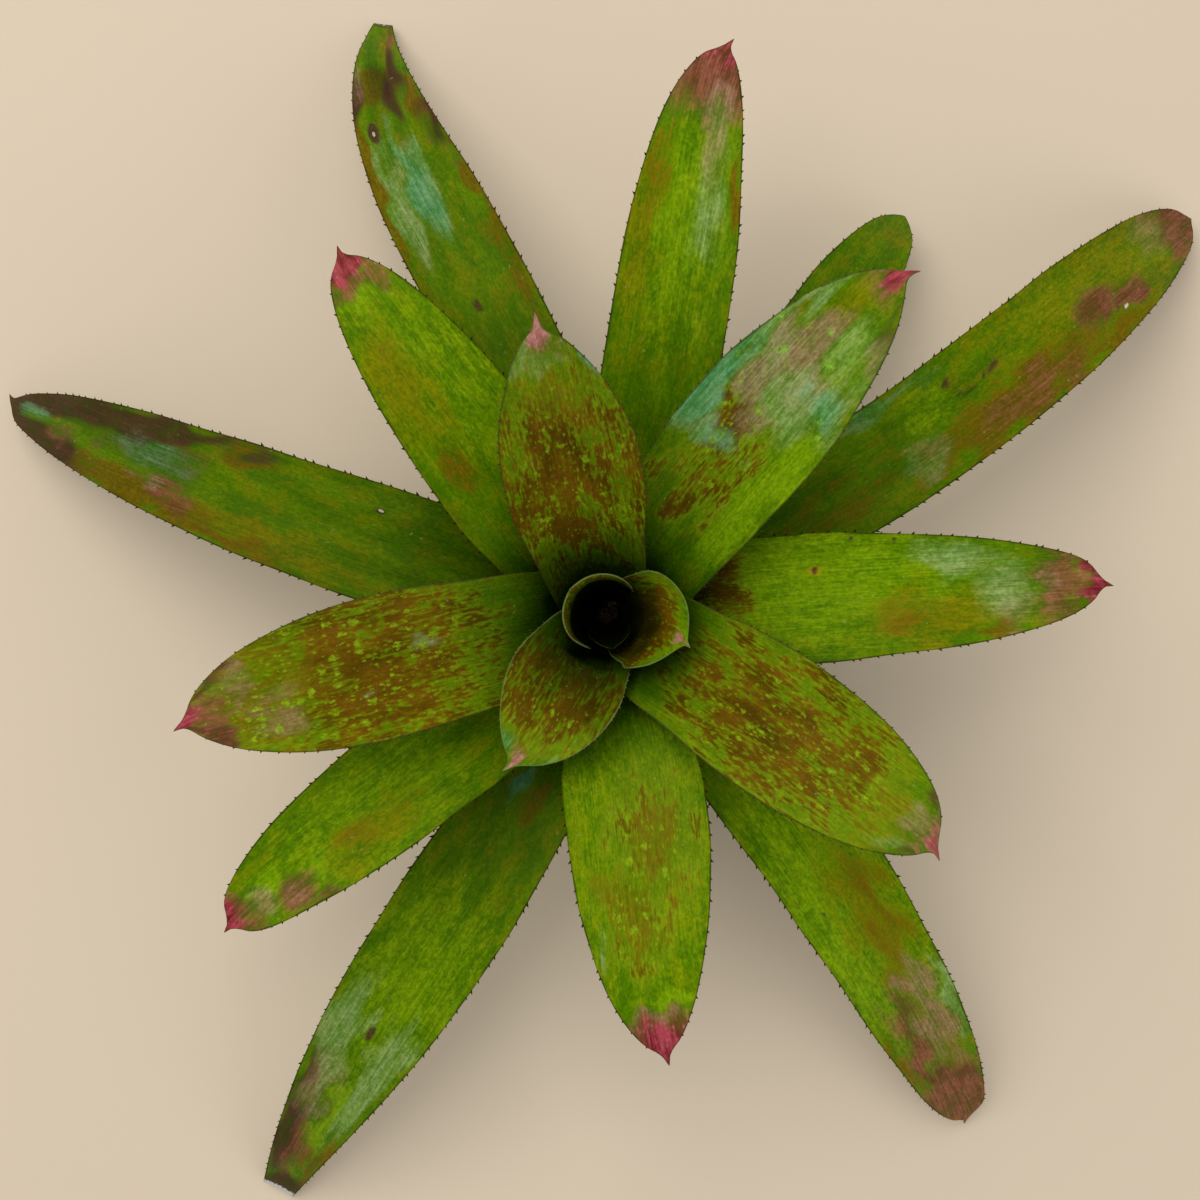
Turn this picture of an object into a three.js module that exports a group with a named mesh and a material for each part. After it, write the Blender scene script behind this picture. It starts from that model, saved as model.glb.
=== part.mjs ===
// Neoregelia bromeliad: a tank-forming rosette of strap leaves on a short woody stem, without a pot.
// Millimetres, +Z up. The origin is the middle of the stem's flat cut base, and the stem's axis is Z.
import * as THREE from "three";

const RADIANS = Math.PI / 180;

// ---------------------------------------------------------------------------------------------
// Driving dimensions
// ---------------------------------------------------------------------------------------------

// The stem: a stub cut flat below, swelling to where the oldest leaf grows, then a cone that the leaf
// bases climb in one spiral, the youngest at its top.
const stem = {
  cutRadius: 12,
  cutHeight: 3, // the leafless stub below the leaf bases
  shoulderRadius: 17.5,
  shoulderHeight: 7,
  topRadius: 1.5,
  topHeight: 30,
  seatMargin: 1, // from each end of the cone to the nearest leaf base
  sides: 20,
};

// The blade that all leaves share.
const blade = {
  edgeThickness: 0.65,
  seatGap: 0.3, // between a leaf's base and the stem
  columns: 8, // across the blade
  rowPitch: 11.5, // along the blade, on average
  crowding: 1.2, // how much closer the rows stand towards the tip; 1 is even
  baseWrap: 60, // degrees that a leaf's base reaches round the stem, to each side
  mostWrap: 125, // and the most that its sheath does
  bellyPlace: 0.6, // how far up the sheath it is widest
  leastBreadth: 0.5, // the trough's curve is that of a blade at least this share of the waist wide
};

// The sheaths stand steepest in the heart and lean out more with each older leaf, in degrees above the
// horizontal, so that each funnel lies inside the next.
const sheathSlope = { youngest: 83, oldest: 50 };

// Marginal teeth, fewer than on the plant but at their true size, one on each side of every row.
// hook: how far the point leans towards the leaf's tip; from and to: where along the blade they stand.
const tooth = { height: 1.1, base: 1.8, hook: 0.9, from: 0.2, to: 0.93 };

// A curled spine draws the last of the blade aside with it.
const curl = { reach: 7, sharpness: 2.5 }; // from how far before the tip, and by which power it grows

// Each whorl's habit. Angles are in degrees above the horizontal, lengths in millimetres.
// thickness: at the midrib near the base; rise and fall: the slope where the blade starts and at its tip;
// sheath: length along the midrib to the middle of the bend; bend: length of the bend; belly and waist:
// half-widths at the sheath's widest and where the blade starts; trough: half-angle of the channel where
// the blade starts, and at its tip; open: 0 where the blade stays rolled round the axis and 1 where it
// opens out.
const whorls = {
  heart: { thickness: 0.8, rise: 82, fall: 80, sheath: 52, bend: 20, belly: 15, waist: 17,
    trough: [30, 20], open: 0 },
  inner: { thickness: 1, rise: 46, fall: 12, sheath: 56, bend: 30, belly: 24, waist: 19.5,
    trough: [26, 14], open: 1 },
  middle: { thickness: 1.1, rise: 30, fall: -8, sheath: 56, bend: 34, belly: 29, waist: 19,
    trough: [22, 12], open: 1 },
  outer: { thickness: 1.2, rise: 13, fall: -44, sheath: 50, bend: 40, belly: 33, waist: 18,
    trough: [18, 10], open: 1 },
};

// The leaves, youngest first. step counts the leaves grown since the youngest, which sets how low the
// base sits; azimuth is the sheath's direction, anticlockwise from +X; length is base to tip along the
// midrib; veer, swing and tail are how far the bend, the blade and its far end turn it anticlockwise;
// width is the blade's greatest, and widest is how far along the blade it lies; blunt is 0.5 for a round
// tip, 1 for a sharp one and more for a long taper; cut is the width of a tip that was cut off; aside is
// how far the spine's point curls to one side, anticlockwise positive.
const leaves = [
  { name: "heart_leaf_1", whorl: "heart", step: 0, azimuth: 280, length: 56, width: 14, widest: 0.2,
    lean: 84, rise: 83, sheath: 40, belly: 8, waist: 7.5 },
  { name: "heart_leaf_2", whorl: "heart", step: 1, azimuth: 143, length: 74, width: 40, widest: 0.2,
    rise: 83.5, fall: 84, waist: 19 },
  { name: "heart_leaf_3", whorl: "heart", step: 2, azimuth: 353, length: 74, width: 36, widest: 0.3,
    rise: 70, fall: 45, swing: -40, open: 0.5 },
  { name: "heart_leaf_4", whorl: "heart", step: 3, azimuth: 238, length: 97, width: 37, widest: 0.35,
    rise: 60, fall: 0, open: 1, blunt: 0.7, aside: -2.5 },
  { name: "inner_leaf_1", whorl: "inner", step: 4, azimuth: 103.8, length: 157, width: 42, widest: 0.45,
    rise: 62, fall: 40, belly: 18, waist: 17.5, spine: 6, aside: -0.6 },
  { name: "inner_leaf_2", whorl: "inner", step: 5, azimuth: 329, length: 165, width: 44, widest: 0.45,
    swing: -8, blunt: 0.52, aside: -3.4 },
  { name: "inner_leaf_3", whorl: "inner", step: 6, azimuth: 191.5, length: 174, width: 43.5, widest: 0.5,
    swing: 5, aside: 2 },
  { name: "inner_leaf_4", whorl: "inner", step: 7, azimuth: 53.5, length: 178, width: 43.5, widest: 0.45,
    swing: -9, blunt: 0.66, aside: -3.8 },
  { name: "middle_leaf_1", whorl: "middle", step: 8, azimuth: 278, length: 167, width: 45, widest: 0.3,
    veer: 3.6, swing: -18, tail: 20, aside: 0.3 },
  { name: "middle_leaf_2", whorl: "middle", step: 9, azimuth: 126.8, length: 167, width: 41, widest: 0.2,
    blunt: 0.5, aside: -2 },
  { name: "middle_leaf_3", whorl: "middle", step: 10, azimuth: 5.8, length: 180, width: 41.5, widest: 0.1,
    swing: -8, tail: 8, blunt: 0.45, aside: -2 },
  { name: "middle_leaf_4", whorl: "middle", step: 11, azimuth: 218.5, length: 175, width: 39, widest: 0.1,
    veer: 1.5, swing: -7, tail: 11.5, blunt: 0.4, aside: 0.5 },
  { name: "middle_leaf_5", whorl: "middle", step: 12, azimuth: 77.9, length: 203, width: 36.5, widest: 0.4,
    veer: -3.6, swing: 21, tail: -25, blunt: 0.5, aside: -2.2 },
  { name: "outer_leaf_1", whorl: "outer", step: 13, azimuth: 318.5, length: 248, width: 37.2, widest: 0.15,
    fall: -46, waist: 16.5, veer: -8.6, swing: -16.7, tail: 5.3, blunt: 0.38, aside: -2.4 },
  { name: "outer_leaf_2", whorl: "outer", step: 14, azimuth: 162.5, length: 249, width: 38.4, widest: 0.1,
    fall: -45, veer: 1.6, swing: -12.2, tail: 7.9, blunt: 0.56, aside: -3.2 },
  { name: "outer_leaf_3", whorl: "outer", step: 15, azimuth: 29, length: 271, width: 36.4, widest: 0.53,
    fall: -40, veer: -3.6, swing: 29.5, tail: -18.7, blunt: 0.47, spine: 2, aside: -0.8 },
  { name: "outer_leaf_4", whorl: "outer", step: 16, azimuth: 250, length: 256, width: 38.8, widest: 0.36,
    fall: -43, waist: 16.5, veer: -12.1, swing: -4.2, tail: 9.2, blunt: 3, cut: 11.4 },
  { name: "outer_leaf_5", whorl: "outer", step: 17, azimuth: 109.5, length: 245, width: 34.6, widest: 0.42,
    veer: -3.2, swing: 39.4, tail: -62.9, blunt: 1.1, cut: 6.3 },
  { name: "outer_leaf_6", whorl: "outer", step: 20, azimuth: 53.2, length: 183, width: 28.5, widest: 0.5,
    blunt: 0.55, spine: 1 },
];

// What a leaf has unless its own line says otherwise. spine is the hard point beyond the blade's tip.
const usual = { veer: 0, swing: 0, tail: 0, blunt: 0.62, spine: 4, spineRoot: 1.1, aside: 0, cut: 0 };

const colours = { stem: 0x7a5a3c, heart: 0x6f8f2a, inner: 0x7d6a26, middle: 0x6b9420, outer: 0x4f7d1e };
const roughness = { bark: 0.9, leaf: 0.4 };

// ---------------------------------------------------------------------------------------------
// Leaf form
// ---------------------------------------------------------------------------------------------

const vertical = new THREE.Vector3(0, 0, 1);
const mix = THREE.MathUtils.lerp;
const ease = (x) => THREE.MathUtils.smootherstep(x, 0, 1);

// A leaf's full description: the usual values, then its whorl's, then its own. age is 0 for the
// youngest leaf and 1 for the oldest.
function describe(leaf) {
  const age = leaf.step / leaves.at(-1).step;
  const lean = mix(sheathSlope.youngest, sheathSlope.oldest, age);
  return { age, lean, ...usual, ...whorls[leaf.whorl], ...leaf };
}

// How far along the blade, 0 at the end of the sheath and 1 at the tip, a distance from the base is.
const alongBlade = (leaf, s) => THREE.MathUtils.clamp((s - leaf.sheath) / (leaf.length - leaf.sheath), 0, 1);

// How far the bend between sheath and blade has gone, 0 to 1: half of it lies before the sheath's end.
const bent = (leaf, s) => ease((s - leaf.sheath) / leaf.bend + 1 / 2);

// The stem's radius at a height on its cone.
function coneRadius(z) {
  const down = (stem.topHeight - z) / (stem.topHeight - stem.shoulderHeight);
  return mix(stem.topRadius, stem.shoulderRadius, down);
}

// Where a leaf's base sits: each step down the spiral is one equal part of the cone's height.
function seatHeight(leaf) {
  return mix(stem.topHeight - stem.seatMargin, stem.shoulderHeight + stem.seatMargin, leaf.age);
}

// How far a leaf's base stands from the axis, to the middle of its thickness.
function seatRadius(leaf) {
  return coneRadius(seatHeight(leaf)) + blade.seatGap + leaf.thickness / 2;
}

// The midrib, walked in short steps from the base: it climbs at the sheath's slope, bends out and then
// falls towards its tip while it may turn to one side.
function midrib(leaf) {
  const stepLength = 0.5;
  const end = leaf.length + leaf.spine;
  const place = new THREE.Vector3(seatRadius(leaf), 0, seatHeight(leaf));
  place.applyAxisAngle(vertical, leaf.azimuth * RADIANS);
  const points = [place.clone()];
  for (let s = 0; s < end; s += stepLength) {
    const { slope, heading } = course(leaf, s + stepLength / 2);
    const out = Math.cos(slope) * stepLength;
    place.x += out * Math.cos(heading);
    place.y += out * Math.sin(heading);
    place.z += Math.sin(slope) * stepLength;
    points.push(place.clone());
  }
  return (s) => {
    const at = THREE.MathUtils.clamp(s / stepLength, 0, points.length - 1);
    const low = Math.min(Math.floor(at), points.length - 2);
    return new THREE.Vector3().lerpVectors(points[low], points[low + 1], at - low);
  };
}

// The midrib's slope above the horizontal and its heading in plan, in radians.
function course(leaf, s) {
  const t = alongBlade(leaf, s);
  const slope = mix(leaf.lean, mix(leaf.rise, leaf.fall, t), bent(leaf, s));
  const heading = leaf.azimuth + leaf.veer * bent(leaf, s) + leaf.swing * t + leaf.tail * t ** 3;
  return { slope: slope * RADIANS, heading: heading * RADIANS };
}

// Half the leaf's width: a narrow base, a full sheath, a slight waist, then the blade, which narrows to
// its spine or ends where it is as narrow as its cut.
function halfWidth(leaf, s) {
  const bellyAt = leaf.sheath * blade.bellyPlace;
  const t = alongBlade(leaf, s);
  const base = blade.baseWrap * RADIANS * seatRadius(leaf);
  if (s < bellyAt) return mix(base, leaf.belly, ease(s / bellyAt));
  if (t <= 0) return mix(leaf.belly, leaf.waist, ease((s - bellyAt) / (leaf.sheath - bellyAt)));
  if (t < leaf.widest) return mix(leaf.waist, leaf.width / 2, ease(t / leaf.widest));
  const past = (t - leaf.widest) / (1 - leaf.widest);
  const whole = (share) => (leaf.width / 2) * (1 - share * share) ** leaf.blunt;
  if (!leaf.cut) return Math.max(leaf.spineRoot, whole(past));
  const cutPlace = Math.sqrt(1 - (leaf.cut / leaf.width) ** (1 / leaf.blunt));
  return whole(past * cutPlace);
}

// How far the leaf is drawn aside by its curled spine.
function drawnAside(leaf, s) {
  const turned = (s - leaf.length + curl.reach) / (curl.reach + leaf.spine);
  return leaf.aside * Math.max(turned, 0) ** curl.sharpness;
}

// A point of the leaf's middle surface: s along the midrib, v across it, anticlockwise seen from above.
// The sheath is part of a funnel round the axis; the blade is a shallow trough about its midrib.
function surfacePoint(leaf, rib, s, v) {
  const middle = rib(s);
  const radius = Math.hypot(middle.x, middle.y);
  const round = Math.atan2(middle.y, middle.x) + v / radius;
  const funnel = new THREE.Vector3(radius * Math.cos(round), radius * Math.sin(round), middle.z);

  const t = alongBlade(leaf, s);
  const { slope, heading } = course(leaf, s);
  const level = new THREE.Vector3(Math.cos(heading), Math.sin(heading), 0);
  const forward = level.multiplyScalar(Math.cos(slope)).setZ(Math.sin(slope));
  const side = new THREE.Vector3(-Math.sin(heading), Math.cos(heading), 0);
  const up = new THREE.Vector3().crossVectors(forward, side);
  const breadth = Math.max(halfWidth(leaf, s), leaf.waist * blade.leastBreadth);
  const bow = (mix(leaf.trough[0], leaf.trough[1], t) * RADIANS) / breadth;
  const trough = middle
    .clone()
    .addScaledVector(side, Math.sin(bow * v) / bow)
    .addScaledVector(up, (1 - Math.cos(bow * v)) / bow);
  return funnel.lerp(trough, leaf.open * bent(leaf, s)).addScaledVector(side, drawnAside(leaf, s));
}

// ---------------------------------------------------------------------------------------------
// Leaf solid
// ---------------------------------------------------------------------------------------------

// A closed solid from a middle surface: points with a normal and a thickness each, and triangles that
// turn anticlockwise seen from the upper face. Both faces use the same triangles, joined by a rim.
function plate(points, triangles) {
  const positions = [];
  for (const { place, normal, thickness } of points) {
    for (const half of [thickness / 2, -thickness / 2]) {
      positions.push(...place.clone().addScaledVector(normal, half).toArray());
    }
  }
  const top = (i) => 2 * i;
  const under = (i) => 2 * i + 1;
  const index = [];
  const edges = new Set(triangles.flatMap(([a, b, c]) => [`${a},${b}`, `${b},${c}`, `${c},${a}`]));
  for (const [a, b, c] of triangles) {
    index.push(top(a), top(b), top(c), under(a), under(c), under(b));
    for (const [p, q] of [[a, b], [b, c], [c, a]]) {
      if (edges.has(`${q},${p}`)) continue;
      index.push(top(q), top(p), under(p), top(q), under(p), under(q));
    }
  }
  const geometry = new THREE.BufferGeometry();
  geometry.setAttribute("position", new THREE.Float32BufferAttribute(positions, 3));
  geometry.setIndex(index);
  geometry.computeVertexNormals();
  return geometry;
}

// How far from the base a row of the blade's grid lies.
const rowPlace = (leaf, i, rows) => leaf.length * (1 - (1 - i / rows) ** blade.crowding);

function leafGeometry(leaf) {
  const rib = midrib(leaf);
  const rows = Math.round(leaf.length / blade.rowPitch);
  const columns = blade.columns;
  const points = [];

  // Adds a point of the middle surface, moved outwards from the margin by reach, and returns its number.
  const addPoint = (s, across, reach = 0) => {
    const radius = Math.hypot(rib(s).x, rib(s).y);
    const wrapped = Math.min(halfWidth(leaf, s), blade.mostWrap * RADIANS * radius);
    const v = across * wrapped + Math.sign(across) * reach;
    const small = 0.2; // the step over which the surface's slopes are taken
    const place = surfacePoint(leaf, rib, s, v);
    const along = surfacePoint(leaf, rib, s + small, v).sub(surfacePoint(leaf, rib, s - small, v));
    const aside = surfacePoint(leaf, rib, s, v + small).sub(surfacePoint(leaf, rib, s, v - small));
    const thinned = Math.max(across * across, alongBlade(leaf, s));
    const thickness = mix(leaf.thickness, blade.edgeThickness, thinned);
    points.push({ place, normal: along.cross(aside).normalize(), thickness });
    return points.length - 1;
  };

  const grid = [];
  for (let i = 0; i <= rows; i++) {
    const s = rowPlace(leaf, i, rows);
    grid.push([]);
    for (let j = 0; j <= columns; j++) grid[i].push(addPoint(s, (2 * j) / columns - 1));
  }

  const triangles = [];
  for (let i = 0; i < rows; i++) {
    for (let j = 1; j < columns - 1; j++) {
      const [a, b, c, d] = [grid[i][j], grid[i + 1][j], grid[i + 1][j + 1], grid[i][j + 1]];
      triangles.push([a, b, c], [a, c, d]);
    }
    triangles.push(...marginStrip(leaf, grid, i, -1, addPoint), ...marginStrip(leaf, grid, i, 1, addPoint));
  }
  if (!leaf.cut) {
    const point = addPoint(leaf.length + leaf.spine, 0);
    for (let j = 0; j < columns; j++) triangles.push([grid[rows][j], point, grid[rows][j + 1]]);
  }
  return plate(points, triangles);
}

// The strip between the margin and its neighbouring column, in one row, with a tooth in the middle where
// the row has teeth. side is -1 or 1.
function marginStrip(leaf, grid, i, side, addPoint) {
  const last = blade.columns;
  const [edge, next] = side > 0 ? [last, last - 1] : [0, 1];
  const [inA, inB] = [grid[i][next], grid[i + 1][next]];
  const [outA, outB] = [grid[i][edge], grid[i + 1][edge]];
  const turn = ([a, b, c]) => (side > 0 ? [a, b, c] : [a, c, b]);
  const rows = grid.length - 1;
  const s = rowPlace(leaf, i + 1 / 2, rows);
  const place = alongBlade(leaf, s);
  const toothed = place > tooth.from && place < tooth.to;
  if (!toothed) return [turn([inA, inB, outB]), turn([inA, outB, outA])];
  const rootA = addPoint(s - tooth.base / 2, side);
  const rootB = addPoint(s + tooth.base / 2, side);
  const tip = addPoint(s + tooth.hook, side, tooth.height);
  return [
    turn([inA, inB, rootB]),
    turn([inB, outB, rootB]),
    turn([rootB, tip, rootA]),
    turn([inA, rootB, rootA]),
    turn([inA, rootA, outA]),
  ];
}

// ---------------------------------------------------------------------------------------------
// Stem
// ---------------------------------------------------------------------------------------------

function stemGeometry() {
  const profile = [
    [0, 0],
    [stem.cutRadius, 0],
    [stem.cutRadius, stem.cutHeight],
    [stem.shoulderRadius, stem.shoulderHeight],
    [stem.topRadius, stem.topHeight],
    [0, stem.topHeight + stem.topRadius],
  ].map(([r, z]) => new THREE.Vector2(r, z));
  return new THREE.LatheGeometry(profile, stem.sides).rotateX(Math.PI / 2); // from the lathe's Y to Z
}

// ---------------------------------------------------------------------------------------------
// The plant
// ---------------------------------------------------------------------------------------------

function piece(name, geometry, color, rough) {
  const material = new THREE.MeshStandardMaterial({ color, roughness: rough, metalness: 0 });
  const mesh = new THREE.Mesh(geometry, material);
  mesh.name = name;
  return mesh;
}

const plant = new THREE.Group();
plant.add(piece("stem", stemGeometry(), colours.stem, roughness.bark));
for (const leaf of leaves.map(describe)) {
  plant.add(piece(leaf.name, leafGeometry(leaf), colours[leaf.whorl], roughness.leaf));
}

export default plant;
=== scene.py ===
import math
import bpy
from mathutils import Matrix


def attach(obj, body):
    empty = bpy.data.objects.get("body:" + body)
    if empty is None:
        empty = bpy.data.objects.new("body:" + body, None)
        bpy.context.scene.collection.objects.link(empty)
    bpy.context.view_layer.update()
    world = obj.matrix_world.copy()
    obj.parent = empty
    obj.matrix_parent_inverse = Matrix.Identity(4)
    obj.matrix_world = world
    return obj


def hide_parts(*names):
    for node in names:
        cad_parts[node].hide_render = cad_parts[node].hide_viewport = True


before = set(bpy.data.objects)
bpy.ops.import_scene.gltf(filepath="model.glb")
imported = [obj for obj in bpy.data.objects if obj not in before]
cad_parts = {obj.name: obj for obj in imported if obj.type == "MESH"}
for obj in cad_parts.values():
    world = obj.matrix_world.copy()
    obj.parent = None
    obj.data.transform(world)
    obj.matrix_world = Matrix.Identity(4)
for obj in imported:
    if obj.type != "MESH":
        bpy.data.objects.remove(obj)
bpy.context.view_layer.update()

from types import SimpleNamespace

import bpy
import numpy as np

# Looks of a neoregelia bromeliad: every leaf again as a fine skin on the same form as its solid, with
# all its marginal teeth, and a bark stem. The form is worked out in millimetres and written in metres.
MM = 0.001

# ---- Driving dimensions, the same as the solids' ----

STEM = SimpleNamespace(
    cut_radius=12.0, cut_height=3.0, shoulder_radius=17.5, shoulder_height=7.0,
    top_radius=1.5, top_height=30.0, seat_margin=1.0,
)
BLADE = SimpleNamespace(
    seat_gap=0.3, base_wrap=60.0, most_wrap=125.0, belly_place=0.6, least_breadth=0.5, spine_taper=0.8,
)
SHEATH_SLOPE = (83.0, 50.0)  # youngest and oldest
WHORLS = {
    "heart": dict(thickness=0.8, rise=82, fall=80, sheath=52, bend=20, belly=15, waist=17,
                  trough=(30, 20), open=0, teeth=0.55, pale=0.6, light=1.08),
    "inner": dict(thickness=1.0, rise=46, fall=12, sheath=56, bend=30, belly=24, waist=19.5,
                  trough=(26, 14), open=1, teeth=0.85, pale=0.1, light=1.16),
    "middle": dict(thickness=1.1, rise=30, fall=-8, sheath=56, bend=34, belly=29, waist=19,
                   trough=(22, 12), open=1, teeth=0.95, pale=0, light=1.17),
    "outer": dict(thickness=1.2, rise=13, fall=-44, sheath=50, bend=40, belly=33, waist=18,
                  trough=(18, 10), open=1, teeth=1, pale=0, light=1.04),
}
USUAL = dict(veer=0, swing=0, tail=0, blunt=0.62, spine=4, spine_root=1.1, aside=0, cut=0, dry=0)
CURL = SimpleNamespace(reach=7.0, sharpness=2.5)


def leaf(name, step, azimuth, length, width, widest, **own):
    """One leaf's row: its whorl is the first word of its name. Besides the solid's own values it has the
    size of its teeth, how pale its margin is, how light it is and how dried out its cut end."""
    row = dict(name=name, step=step, azimuth=azimuth, length=length, width=width, widest=widest)
    return {**USUAL, **WHORLS[name.split("_")[0]], **row, **own}


LEAVES = [
    leaf("heart_leaf_1", 0, 280, 56, 14, 0.2, lean=84, rise=83, sheath=40, belly=8, waist=7.5,
         pale=0),
    leaf("heart_leaf_2", 1, 143, 74, 40, 0.2, rise=83.5, fall=84, waist=19),
    leaf("heart_leaf_3", 2, 353, 74, 36, 0.3, rise=70, fall=45, swing=-40, open=0.5),
    leaf("heart_leaf_4", 3, 238, 97, 37, 0.35, rise=60, fall=0, open=1, blunt=0.7, aside=-2.5),
    leaf("inner_leaf_1", 4, 103.8, 157, 42, 0.45, rise=62, fall=40, belly=18, waist=17.5, spine=6,
         aside=-0.6),
    leaf("inner_leaf_2", 5, 329, 165, 44, 0.45, swing=-8, blunt=0.52, aside=-3.4),
    leaf("inner_leaf_3", 6, 191.5, 174, 43.5, 0.5, swing=5, aside=2),
    leaf("inner_leaf_4", 7, 53.5, 178, 43.5, 0.45, swing=-9, blunt=0.66, aside=-3.8),
    leaf("middle_leaf_1", 8, 278, 167, 45, 0.3, veer=3.6, swing=-18, tail=20, aside=0.3),
    leaf("middle_leaf_2", 9, 126.8, 167, 41, 0.2, blunt=0.5, aside=-2),
    leaf("middle_leaf_3", 10, 5.8, 180, 41.5, 0.1, swing=-8, tail=8, blunt=0.45, aside=-2),
    leaf("middle_leaf_4", 11, 218.5, 175, 39, 0.1, veer=1.5, swing=-7, tail=11.5, blunt=0.4, aside=0.5),
    leaf("middle_leaf_5", 12, 77.9, 203, 36.5, 0.4, veer=-3.6, swing=21, tail=-25, blunt=0.5,
         aside=-2.2),
    leaf("outer_leaf_1", 13, 318.5, 248, 37.2, 0.15, fall=-46, waist=16.5, veer=-8.6, swing=-16.7,
         tail=5.3, blunt=0.38, aside=-2.4, light=1.22),
    leaf("outer_leaf_2", 14, 162.5, 249, 38.4, 0.1, fall=-45, veer=1.6, swing=-12.2, tail=7.9,
         blunt=0.56, aside=-3.2, light=0.94),
    leaf("outer_leaf_3", 15, 29, 271, 36.4, 0.53, fall=-40, veer=-3.6, swing=29.5, tail=-18.7,
         blunt=0.47, spine=2, aside=-0.8, light=1.08),
    leaf("outer_leaf_4", 16, 250, 256, 38.8, 0.36, fall=-43, waist=16.5, veer=-12.1, swing=-4.2,
         tail=9.2, blunt=3, cut=11.4, dry=1),
    leaf("outer_leaf_5", 17, 109.5, 245, 34.6, 0.42, veer=-3.2, swing=39.4, tail=-62.9, blunt=1.1,
         cut=6.3, dry=0.6),
    leaf("outer_leaf_6", 20, 53.2, 183, 28.5, 0.5, blunt=0.55, spine=1),
]

# The fine skin
SKIN = SimpleNamespace(
    edge=0.5,  # thickness at the margin
    spine_edge=(1.3, 0.2),  # times that, at the spine's root and at its point
    rim=0.22,  # how far the rounded margin stands out
    rows_per_mm=0.85,
    columns=36,
    crowding=1.5,  # how much closer the rows stand towards the tip
    bunching=0.3,  # and the columns towards the margins
    spine_rows=8,
    stop_short=0.02,  # of the spine's very point
    wave=0.55,  # height of the margin's slow waves
    buckle=0.16,  # height of the blade's shallow dimples
    crease=0.22,  # depth of the midrib's groove
    crease_width=1.3,
    calm=12,  # stretch before the tip over which waves, dimples and groove fade out
    flare=1.6,  # how far the spine's root blends into the tip
    hole_cells=6,  # rows and columns across a hole
    hole_margin=1.3,  # how far from a hole, in its half-sizes, other rows and columns stay
    brink=0.99,  # where across the blade its rounded margin begins
    dry_reach=5,  # how far a cut end has dried
    spine_horn=0.45,  # how horny the spine's point looks
    lightness=(0.9, 1.08),  # at the sheath and at the tip
    pattern_step=37.0,  # from one leaf's pattern to the next one's
    under_step=500,  # and from the upper side's to the lower side's
)
TOOTH = SimpleNamespace(
    pitch=4.2, height=1.2, base=1.6, hook=0.9, start=0.02, end=0.975, sides=5,
    levels=(-0.4, 0.0, 0.35, 0.7, 0.98), girths=(1.0, 1.0, 0.6, 0.3, 0.05),
    thickness=0.42, curl=1.5, tip_size=0.7, sizes=(0.7, 1.15), horn=0.35, off_blade=20.0,
)
BARK = SimpleNamespace(
    step=0.4, sides=120, grain=0.2, ridge=0.25, ridge_pitch=2.2, ridge_lobes=3, girth=12,
    smooth_foot=0.2, smooth_top=2,  # height and radius up to which it stays smooth
)

# ---- Markings ----

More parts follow.
